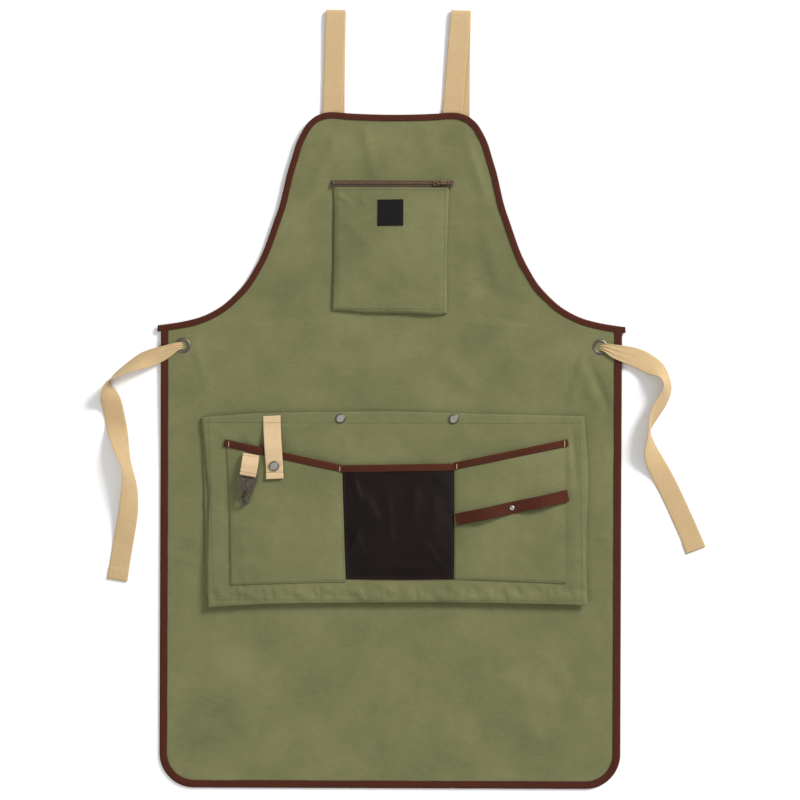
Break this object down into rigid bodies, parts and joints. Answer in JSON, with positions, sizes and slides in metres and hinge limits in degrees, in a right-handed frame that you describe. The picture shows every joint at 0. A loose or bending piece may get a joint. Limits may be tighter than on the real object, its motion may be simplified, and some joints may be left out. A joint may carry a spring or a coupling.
{
  "type": "gardening apron",
  "caption": "Canvas gardening apron laid flat, with crossed webbing straps, zipped bib pocket, lap pouch with tool pockets, tool loops and a snap clip.",
  "frame": {"origin": "on the surface it lies on, under the middle of the hem's binding", "axes": "+Y from the hem to the bib, +Z out of the front, +X to the right as the front is seen"},
  "size_m": [0.7978, 1.029, 0.0298],
  "materials": {
    "canvas": "olive green cotton canvas, plain weave",
    "brown_binding": "reddish brown binding tape",
    "webbing": "natural cotton webbing, herringbone",
    "dark_leather": "dark brown, soft sheen",
    "label": "black woven label, bare",
    "zip_tape": "dark brown zip tape",
    "gunmetal": "antique gunmetal",
    "nickel": "brushed nickel"
  },
  "bodies": {
    "apron": {"body_panel": "canvas", "binding_hem": "brown_binding", "binding_bib": "brown_binding", "strap_left": "webbing", "strap_right": "webbing", "eyelet_left": "nickel", "eyelet_right": "nickel", "chest_pocket": "canvas", "label": "label", "zip_tape": "zip_tape", "zip_teeth": "gunmetal", "pouch_gusset": "canvas", "pouch_front": "canvas", "pouch_snap_left": "nickel", "pouch_snap_right": "nickel", "pocket_left": "canvas", "pocket_centre": "dark_leather", "pocket_right": "canvas", "pocket_left_binding": "brown_binding", "pocket_centre_binding": "brown_binding", "pocket_right_binding": "brown_binding", "tool_tape": "brown_binding", "tape_rivet": "nickel", "tab_strap": "webbing", "tab_snap": "nickel", "clip_loop": "webbing", "clip_plate": "gunmetal"},
    "zip_slider": {"zip_slider": "gunmetal"},
    "zip_pull": {"zip_pull": "gunmetal"},
    "clip_gate": {"clip_gate": "gunmetal"}
  },
  "joints": [
    {"name": "slider_travel", "type": "slide", "parent": "apron", "child": "zip_slider", "axis": [-1, 0, 0], "range_m": [0, 0.128]},
    {"name": "pull_swing", "type": "hinge", "parent": "zip_slider", "child": "zip_pull", "pos_m": [0.0585, 0.79412, 0.01284], "axis": [0, -0.9322, 0.3619], "range_deg": [0, 150]},
    {"name": "gate_swing", "type": "hinge", "parent": "apron", "child": "clip_gate", "pos_m": [-0.18451, 0.39088, 0.024], "axis": [0, 0, -1], "range_deg": [0, 16], "stiffness_Nm_per_rad": 0.02, "springref_deg": -5.73}
  ]
}
